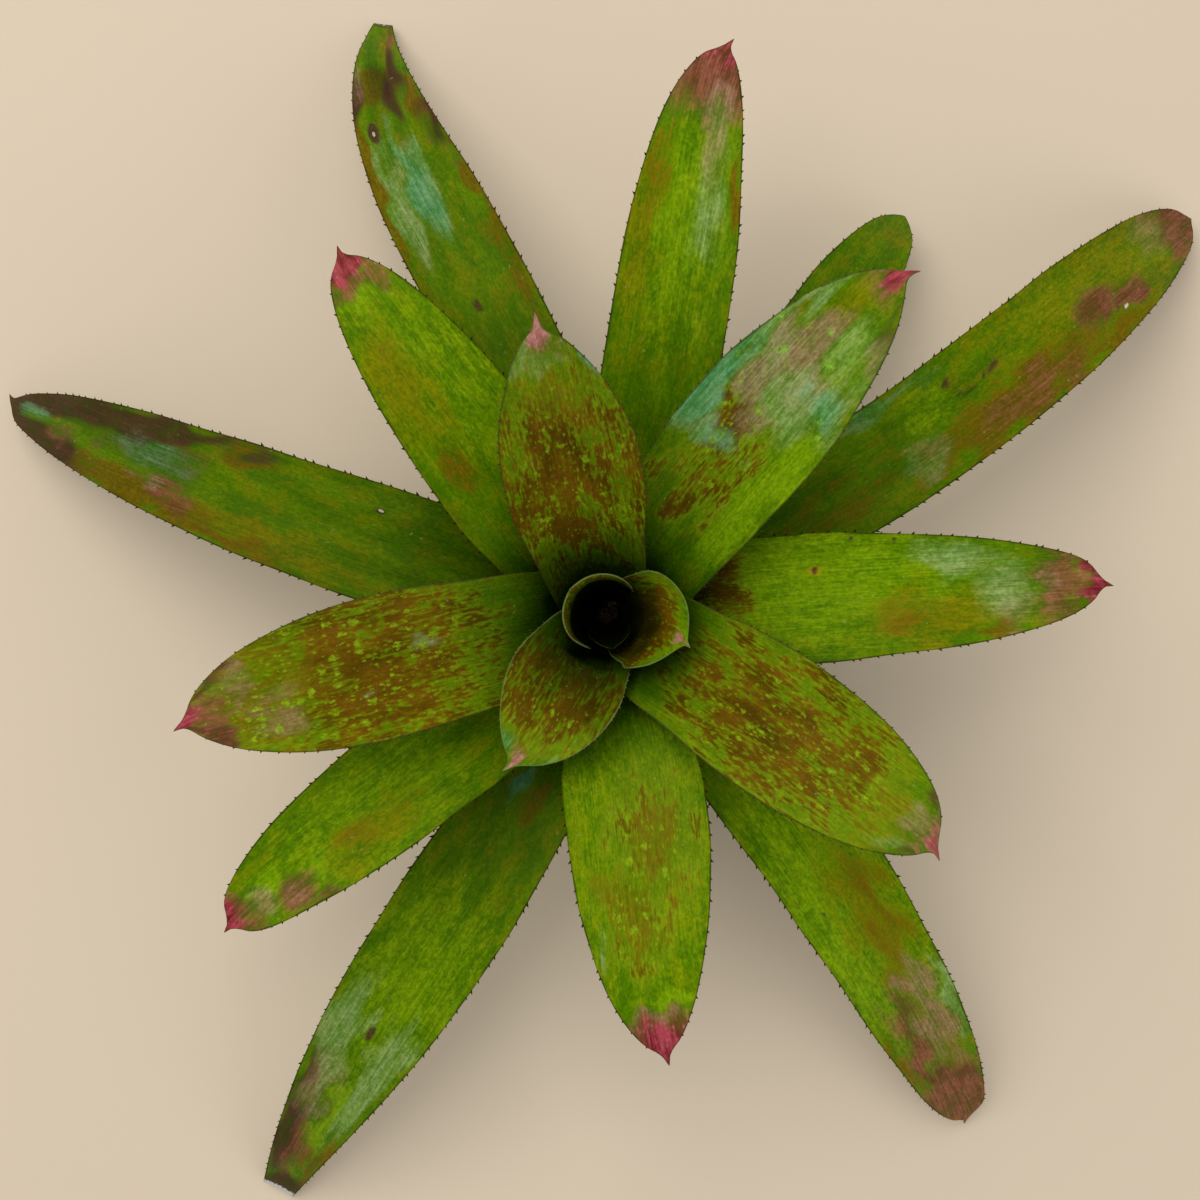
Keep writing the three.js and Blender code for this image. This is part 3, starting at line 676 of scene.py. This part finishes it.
def add_teeth(build, one, rng, relief_seed, number):
    """Hooked teeth along both margins, their roots sunk into the blade."""
    blade = one.length - one.sheath
    count = int(blade * (TOOTH.end - TOOTH.start) / (TOOTH.pitch * one.teeth))
    turn = 2 * math.pi * np.arange(TOOTH.sides) / TOOTH.sides
    for side in (-1, 1):
        share = (np.arange(count) + rng.uniform(0.2, 0.8, count)) / count
        t = mix(TOOTH.start, TOOTH.end, share)
        s = one.sheath + t * blade
        root, normal, outward, forward = skin_points(one, s, np.full(count, float(side)), relief_seed)
        size = rng.uniform(*TOOTH.sizes, count) * mix(1.0, TOOTH.tip_size, t) * one.teeth
        height, base, hook = TOOTH.height * size, TOOTH.base * size, TOOTH.hook * size
        on_leaf = np.stack(np.broadcast_arrays(s, TOOTH.off_blade * side, SKIN.pattern_step * number), -1)
        rings = []
        for level, girth in zip(TOOTH.levels, TOOTH.girths):
            out, on = height * level, hook * max(level, 0) ** TOOTH.curl
            middle = root + side * outward * out[:, None] + forward * on[:, None]
            along_it = forward[:, None] * (np.cos(turn) * (base * girth / 2)[:, None])[..., None]
            half_thickness = np.sin(turn) * TOOTH.thickness * SKIN.edge * girth
            through_it = normal[:, None] * half_thickness[None, :, None]
            points = middle[:, None] + along_it + through_it
            horn = mix(TOOTH.horn, 1, max(level, 0))
            rings.append(build.add(points, on_leaf[:, None], horn=horn, pale=one.pale, light=1.0))
        for tooth in np.stack(rings, 1):
            build.grid(tooth, wrap=True, flip=side > 0)
            build.faces.append(tooth[-1].tolist()[:: 1 if side < 0 else -1])
            build.faces.append(tooth[0].tolist()[:: -1 if side < 0 else 1])


# ---- Materials ----

def srgb(red, green, blue):
    """A colour as seen, 0 to 255, as Blender wants it."""
    held = np.array([red, green, blue]) / 255
    linear = np.where(held <= 0.04045, held / 12.92, ((held + 0.055) / 1.055) ** 2.4)
    return (*linear.tolist(), 1.0)


class Graph:
    """Writes a material's nodes: an input is a number, a colour, or another node's output."""

    def __init__(self, name):
        self.material = bpy.data.materials.new(name)
        self.material.use_nodes = True
        self.tree = self.material.node_tree
        self.shader = self.tree.nodes["Principled BSDF"]

    def node(self, kind, inputs=(), **settings):
        made = self.tree.nodes.new("ShaderNode" + kind)
        for key, value in settings.items():
            setattr(made, key, value)
        for key, value in dict(inputs).items():
            self.feed(made.inputs[key], value)
        return made

    def feed(self, socket, value):
        if isinstance(value, bpy.types.NodeSocket):
            self.tree.links.new(value, socket)
        else:
            socket.default_value = value

    def attribute(self, name, vector=False):
        return self.node("Attribute", attribute_name=name).outputs["Vector" if vector else "Fac"]

    def set(self, name, value):
        """Sets one of the shader's inputs."""
        self.feed(self.shader.inputs[name], value)

    def math(self, operation, a, b=0.0, c=0.0):
        return self.node("Math", {0: a, 1: b, 2: c}, operation=operation).outputs[0]

    def times(self, a, b):
        return self.math("MULTIPLY", a, b)

    def step(self, value, low, high, to_low=0.0, to_high=1.0):
        """Smooth rise of value from low to high."""
        limits = {"From Min": low, "From Max": high, "To Min": to_low, "To Max": to_high}
        held = self.node("MapRange", {"Value": value, **limits}, interpolation_type="SMOOTHSTEP")
        return held.outputs["Result"]

    def sum(self, *parts):
        """Sum of (weight, value) parts."""
        total = 0.0
        for weight, value in parts:
            total = self.math("MULTIPLY_ADD", value, weight, total)
        return total

    def scaled(self, vector, *scale):
        return self.node("VectorMath", {0: vector, 1: scale}, operation="MULTIPLY").outputs[0]

    def noise(self, vector, detail=2.0, roughness=0.5):
        inputs = {"Vector": vector, "Scale": 1.0, "Detail": detail, "Roughness": roughness}
        return self.node("TexNoise", inputs).outputs["Fac"]

    def grain(self, place, length, breadth, detail):
        """Noise of 0 to 1 whose features are about that many mm long and broad on the leaf."""
        return self.step(self.noise(self.scaled(place, 1 / length, 1 / breadth, 1), detail), 0.25, 0.75)

    def dots(self, place, length, breadth, size, softness):
        """Irregular roundish dots of varied size in about half of the cells of that length and breadth."""
        empty, bend = 0.4, (0.9, 0.9, 0.9)  # share of cells without a dot, and how far noise bends the cells
        cells = self.scaled(place, 1 / length, 1 / breadth, 1)
        sway = self.node("TexNoise", {"Vector": cells, "Scale": 2.0, "Detail": 2.0})
        bent_by = {0: sway.outputs["Color"], 1: bend, 2: cells}
        moved = self.node("VectorMath", bent_by, operation="MULTIPLY_ADD")
        found = self.node("TexVoronoi", {"Vector": moved.outputs[0], "Scale": 1.0})
        chance = self.node("SeparateColor", {"Color": found.outputs["Color"]}).outputs[0]
        reach = self.times(self.math("SUBTRACT", chance, empty), 2 * size)
        return self.step(self.math("SUBTRACT", reach, found.outputs["Distance"]), -softness, softness)

    def blend(self, amount, a, b, mode="MIX"):
        return self.node("Mix", {0: amount, 6: a, 7: b}, data_type="RGBA", blend_type=mode).outputs[2]


# What each kind of marking looks like: its darker and its lighter shade.
SHADES = {
    "green": ((66, 102, 0), (86, 118, 0)),
    "lime": ((86, 124, 0), (122, 152, 6)),
    "olive": ((98, 94, 0), (122, 114, 2)),
    "rust": ((88, 68, 2), (114, 92, 6)),
    "gaps": ((86, 112, 2), (120, 144, 14)),
    "wash": ((84, 78, 0), (112, 98, 2)),
    "brown": ((66, 40, 0), (110, 72, 8)),
    "dots": ((104, 134, 6), (132, 158, 20)),
    "spot": ((112, 160, 36), (130, 176, 60)),
    "purple": ((50, 22, 16), (74, 44, 34)),
    "maroon": ((92, 40, 28), (130, 76, 56)),
    "pink": ((152, 86, 80), (176, 120, 110)),
    "crimson": ((98, 4, 26), (156, 58, 72)),
    # The next three are the waxy bloom's colours with painted sky glare in them
    "mist": ((104, 138, 54), (136, 158, 98)),
    "teal": ((50, 130, 70), (100, 154, 108)),
    "mauve": ((126, 92, 64), (148, 118, 90)),
    "wound": ((56, 34, 26), (84, 54, 38)),
    "under": ((88, 108, 48), (118, 134, 78)),
}


def leaf_grains(g, place):
    """The skin's patterns, each of 0 to 1 with its own size along and across the leaf."""
    return SimpleNamespace(
        bands=g.grain(place, 70, 4.5, 2),
        clouds=g.grain(place, 22, 8, 3),
        patches=g.grain(place, 11, 5.5, 2),
        blobs=g.grain(place, 2.7, 1.7, 3),
        flakes=g.grain(place, 3.4, 1.15, 3),
        specks=g.grain(place, 1.2, 0.8, 2),
        streaks=g.grain(place, 14, 0.8, 1),
        fibres=g.grain(place, 40, 0.45, 1),
        dots=g.dots(place, 4.2, 2.6, 0.34, 0.12),
        small_dots=g.dots(place, 2.0, 1.1, 0.38, 0.18),
        large_dots=g.dots(place, 7.5, 6, 0.3, 0.07),
        flecks=g.dots(place, 3.1, 2.6, 0.12, 0.06),
    )


def shade(g, kind, amount):
    """A kind's colour, from its darker to its lighter shade."""
    dark, light = SHADES[kind]
    return g.blend(amount, srgb(*dark), srgb(*light))


def veil(g, amount, grain, low, high, most=1.0, rough=1.0):
    """A mark's strength, drawn out lengthwise and made uneven by the skin's patterns."""
    patterns = ((0.22, grain.streaks), (0.34, grain.patches), (0.26, grain.blobs), (0.1, grain.specks))
    uneven = g.sum(*[(weight * rough, pattern) for weight, pattern in patterns], (1, amount))
    held = g.step(amount, 0.0, 0.3)  # nothing strays far outside the mark
    return g.times(g.step(g.math("SUBTRACT", uneven, 0.46 * rough), low, high, 0, most), held)


def green_ground(g, mark, grain):
    """Green, mottled softly all over, under the mark's lime, olive and rust."""
    tone = g.sum((0.5, grain.clouds), (0.14, grain.bands), (0.24, grain.patches), (0.12, grain.blobs))
    colour = shade(g, "green", g.step(tone, 0.25, 0.75))
    cast = g.sum((0.6, grain.patches), (0.1, grain.streaks), (0.3, grain.blobs))
    colour = g.blend(g.step(cast, 0.4, 0.85, 0, 0.5), colour, shade(g, "olive", grain.clouds))
    tone = g.sum((0.4, grain.streaks), (0.3, grain.blobs), (0.3, grain.patches))
    veils = dict(lime=(0.0, 0.95, 0.9), olive=(0.0, 0.95, 0.8), rust=(0.22, 0.8, 0.9))
    for kind, levels in veils.items():
        colour = g.blend(veil(g, mark[kind], grain, *levels), colour, shade(g, kind, tone))
    return colour


def mottled(g, colour, mark, grain):
    """Brown in flakes that flock together, olive at their edges, with lime showing between them. It fades
    where the blade turns olive or rust."""
    faded = g.step(g.math("MAXIMUM", mark["olive"], mark["rust"]), 0.1, 0.7, 1, 0.5)
    held = g.times(g.step(mark["brown"], 0.03, 0.25), faded)
    colour = g.blend(g.times(held, 0.9), colour, shade(g, "gaps", grain.patches))
    field = g.sum((0.34, grain.flakes), (0.18, grain.streaks), (0.34, grain.patches), (0.14, grain.specks))
    field = g.sum((-0.15, mark["lime"]), (0.59, mark["brown"]), (1, field))
    cover = g.times(g.step(field, 0.58, 0.78, 0, 0.95), held)
    wash, brown = (shade(g, kind, grain.clouds) for kind in ("wash", "brown"))
    return g.blend(cover, colour, g.blend(g.step(field, 0.67, 0.91), wash, brown))


def dotted(g, colour, mark, grain):
    """Lime dots, which also show through the bloom and its painted glare, and large ones in their own
    places.
    """
    dots = g.math("MAXIMUM", grain.dots, g.times(grain.small_dots, 0.7))
    on_brown, on_mauve = g.step(mark["brown"], 0.15, 0.5, 0, 0.85), g.step(mark["mauve"], 0.3, 1, 0, 0.51)
    where = g.times(g.math("MAXIMUM", on_brown, on_mauve), g.step(mark["painted_shade"], 0, 0.8, 1, 0.2))
    colour = g.blend(g.times(dots, where), colour, shade(g, "dots", grain.specks))
    spots = g.times(grain.large_dots, g.step(mark["spot"], 0.1, 0.5, 0, 0.8))
    return g.blend(spots, colour, shade(g, "spot", grain.specks))


def leaf_material():
    g = Graph("leaf_skin")
    place = g.attribute("place", vector=True)
    mark = {key: g.attribute(key) for key in (*KINDS, *OTHERS)}
    grain = leaf_grains(g, place)
    colour = mottled(g, green_ground(g, mark, grain), mark, grain)
    drawn = g.step(g.sum((0.4, grain.streaks), (0.4, grain.patches), (0.2, grain.blobs)), 0.2, 0.8)
    for kind, most in (("purple", 0.94), ("maroon", 0.92)):
        colour = g.blend(veil(g, mark[kind], grain, -0.1, 1.2, most), colour, shade(g, kind, drawn))

    # The waxy bloom with painted sky glare and reflections on it, brushed lengthwise
    brushed = g.sum((0.25, grain.streaks), (0.5, grain.fibres), (0.25, grain.specks))
    brushed = g.step(brushed, 0.2, 0.8, 0.8, 1)
    bloom_and_glare = 0.0
    for kind, most in (("mauve", 0.85), ("mist", 0.72), ("teal", 0.8)):
        amount = g.times(veil(g, mark[kind], grain, -0.1, 1.0, most, rough=0.5), brushed)
        colour = g.blend(amount, colour, shade(g, kind, drawn))
        bloom_and_glare = g.math("MAXIMUM", amount, bloom_and_glare)
    colour = dotted(g, colour, mark, grain)

    # The tip's flush with its pale flecks
    for kind in ("pink", "crimson"):
        flush = veil(g, mark[kind], grain, 0.08, 0.75, 0.97)
        colour = g.blend(flush, colour, shade(g, kind, drawn))
        fleck = g.times(g.times(grain.small_dots, flush), g.step(flush, 0.5, 0.95, 0.4, 0.1))
        colour = g.blend(fleck, colour, srgb(196, 150, 122))

    # Painted shade: the colour darkened and tinted green towards the sheath, where the leaves shadow one
    # another, and painted near-black shadow down in the cup
    painted_shade = g.blend(1.0, colour, srgb(92, 153, 200), "MULTIPLY")
    colour = g.blend(g.times(mark["painted_shade"], 0.86), colour, painted_shade)
    # Near-black painted shadow down in the cup
    colour = g.blend(g.times(mark["painted_cup_shadow"], 0.97), colour, srgb(3, 5, 1))

    # Fibres, blobs and specks shade the whole blade lightly, and a few scales stand out pale
    value = mark["light"]
    shading = ((grain.fibres, 0.93, 1.06), (grain.specks, 0.85, 1.13), (grain.blobs, 0.92, 1.07))
    for pattern, low, high in shading:
        value = g.times(value, g.step(pattern, 0, 1, low, high))
    colour = g.node("HueSaturation", {"Color": colour, "Value": value}).outputs["Color"]
    scales = g.times(grain.flecks, g.step(mark["painted_cup_shadow"], 0, 0.3, 0.35, 0))
    colour = g.blend(scales, colour, srgb(156, 168, 92))

    # Wounds, the dried cut, the thin margin, the greyer underside, and the horny teeth and spine
    colour = g.blend(g.times(mark["halo"], 0.85), colour, srgb(166, 146, 14))
    colour = g.blend(g.step(mark["wound"], 0.05, 0.8, 0, 0.9), colour, shade(g, "wound", grain.specks))
    colour = g.blend(g.step(mark["scab"], 0.1, 0.7), colour, srgb(206, 196, 172))
    dry = g.sum((0.3, grain.specks), (1, mark["dry"]))
    colour = g.blend(g.step(dry, 0.4, 0.75), colour, srgb(64, 42, 26))
    colour = g.blend(g.step(dry, 0.65, 0.85), colour, srgb(204, 202, 196))
    rim = g.sum((0.4, grain.patches), (1, mark["edge"]))
    margin = g.times(g.step(rim, 0.5, 0.2), g.step(mark["painted_cup_shadow"], 0, 0.5, 0.7, 0))
    colour = g.blend(margin, colour, g.blend(mark["pale"], srgb(52, 44, 8), srgb(130, 152, 84)))
    colour = g.blend(g.times(mark["under"], 0.55), colour, shade(g, "under", grain.fibres))
    horn = g.blend(mark["pale"], srgb(40, 28, 8), srgb(150, 140, 92))
    colour = g.blend(g.step(mark["horn"], 0.2, 0.6), colour, horn)

    g.set("Base Color", colour)
    gloss = g.math("MULTIPLY_ADD", grain.specks, 0.14, 0.38)
    for key, low, high in (("edge", 0.5, 0.0), ("horn", 0.1, 0.4)):
        gloss = g.math("MAXIMUM", gloss, g.step(mark[key], low, high, 0, 0.95))
    g.set("Roughness", gloss)
    g.set("Specular IOR Level", 0.1)
    g.set("Specular Tint", (1, 0.95, 0.2, 1))
    g.set("Coat Weight", g.times(bloom_and_glare, 0.2))
    g.set("Coat Roughness", 0.35)
    relief = g.math("MULTIPLY_ADD", grain.specks, 0.3, grain.fibres)
    bump = g.node("Bump", {"Strength": 0.3, "Distance": 0.25 * MM, "Height": relief})
    g.set("Normal", bump.outputs[0])
    return g.material


def bark_material():
    g = Graph("stem_bark")
    where = g.node("TexCoord").outputs["Object"]
    rings = g.noise(g.scaled(where, 220, 220, 900), 4, 0.65)
    grain = g.noise(g.scaled(where, 1400, 1400, 500), 3, 0.6)
    colour = g.blend(g.step(rings, 0.35, 0.65), srgb(58, 38, 22), srgb(128, 98, 64))
    colour = g.blend(g.times(g.step(grain, 0.45, 0.7), 0.5), colour, srgb(164, 136, 98))
    g.set("Base Color", colour)
    g.set("Roughness", g.step(grain, 0.3, 0.7, 0.75, 0.95))
    relief = g.math("ADD", rings, grain)
    bump = g.node("Bump", {"Strength": 0.6, "Distance": 0.6 * MM, "Height": relief})
    g.set("Normal", bump.outputs[0])
    return g.material


# ---- Pieces ----

def add_piece(name, mesh, material, node):
    mesh.materials.append(material)
    made = bpy.data.objects.new(name, mesh)
    bpy.context.scene.collection.objects.link(made)
    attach(made, "root")
    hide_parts(node)


def stem_mesh():
    """The stem turned finely, with a leaf scar's ridge at each step and a shallow grain on the cut."""
    profile = np.array([
        (0, 0), (STEM.cut_radius, 0), (STEM.cut_radius, STEM.cut_height),
        (STEM.shoulder_radius, STEM.shoulder_height), (STEM.top_radius, STEM.top_height),
        (0, STEM.top_height + STEM.top_radius),
    ])
    lengths = np.hypot(*np.diff(profile, axis=0).T)
    places = np.concatenate([[0], lengths.cumsum()])
    fine = np.unique(np.concatenate([places, np.arange(BARK.step, places[-1], BARK.step)]))
    radius, height = (np.interp(fine, places, profile[:, k]) for k in (0, 1))
    turn = 2 * math.pi * np.arange(BARK.sides) / BARK.sides
    rng = np.random.default_rng(SEED)
    r, t = np.meshgrid(radius, turn, indexing="ij")
    z, _ = np.meshgrid(height, turn, indexing="ij")
    scars = 0.5 + 0.5 * np.sin(2 * math.pi * z / BARK.ridge_pitch + np.sin(BARK.ridge_lobes * t))
    grain = ripple(rng, z, t * BARK.girth, length=3.0, breadth=4.0, waves=9)
    rough = BARK.grain * grain - BARK.ridge * scars
    on_side = (z > BARK.smooth_foot) & (r > BARK.smooth_top)
    r = r + np.where(on_side, np.minimum(rough, 0), 0)
    points = np.stack([r * np.cos(t), r * np.sin(t), z], -1)[1:-1]
    build = Builder()
    rows = build.add(points, np.zeros(3))
    foot, top = build.add(np.array([[0, 0, 0], [0, 0, height[-1]]]), np.zeros(3))
    build.grid(rows, wrap=True, flip=True)
    for j in range(BARK.sides):
        k = (j + 1) % BARK.sides
        build.faces.append([int(foot), int(rows[0, k]), int(rows[0, j])])
        build.faces.append([int(top), int(rows[-1, j]), int(rows[-1, k])])
    return build.mesh("stem_skin")


oldest = LEAVES[-1]["step"]
skin = leaf_material()
for number, row in enumerate(LEAVES):
    age = row["step"] / oldest
    one = SimpleNamespace(**{"age": age, "lean": mix(*SHEATH_SLOPE, age), **row})
    one.rib = midrib(one)
    one.wounds = [wound_on(one, *wound[1:]) for wound in WOUNDS if wound[0] == one.name]
    one.holes = [wound for wound in one.wounds if wound.kind == "hole"]
    add_piece(one.name + "_skin", leaf_mesh(one, number), skin, one.name)
add_piece("stem_bark", stem_mesh(), bark_material(), "stem")


# ---- Floor, light and camera ----

def floor():
    bpy.ops.mesh.primitive_plane_add(size=6)
    plane = bpy.context.object
    plane.name = "floor"
    g = Graph("floor_paper")
    g.set("Base Color", srgb(224, 204, 178))
    g.set("Roughness", 0.9)
    plane.data.materials.append(g.material)


def area_light(name, place, size, power, colour=(1, 1, 1)):
    """A soft square light that looks at the plant's middle."""
    data = bpy.data.lights.new(name, "AREA")
    data.size = size
    data.energy = power
    data.color = colour
    made = bpy.data.objects.new(name, data)
    made.location = place
    aim = -made.location.copy()
    made.rotation_euler = aim.to_track_quat("-Z", "Y").to_euler()
    bpy.context.scene.collection.objects.link(made)


def studio():
    world = bpy.data.worlds.new("studio")
    world.use_nodes = True
    world.node_tree.nodes["Background"].inputs["Color"].default_value = (0.95, 0.98, 1.0, 1)
    world.node_tree.nodes["Background"].inputs["Strength"].default_value = 0.5
    bpy.context.scene.world = world
    area_light("key", (-0.5, 0.7, 1.5), size=1.4, power=17)
    area_light("fill", (1.1, -0.8, 1.0), size=1.2, power=4, colour=(0.95, 0.98, 1))


def camera():
    data = bpy.data.cameras.new("camera")
    data.sensor_width = 36
    data.lens = 58.99
    made = bpy.data.objects.new("camera", data)
    made.location = (-0.0022, 0.0053, 0.7)
    bpy.context.scene.collection.objects.link(made)
    bpy.context.scene.camera = made


floor()
studio()
camera()
bpy.context.scene.view_settings.view_transform = "Standard"
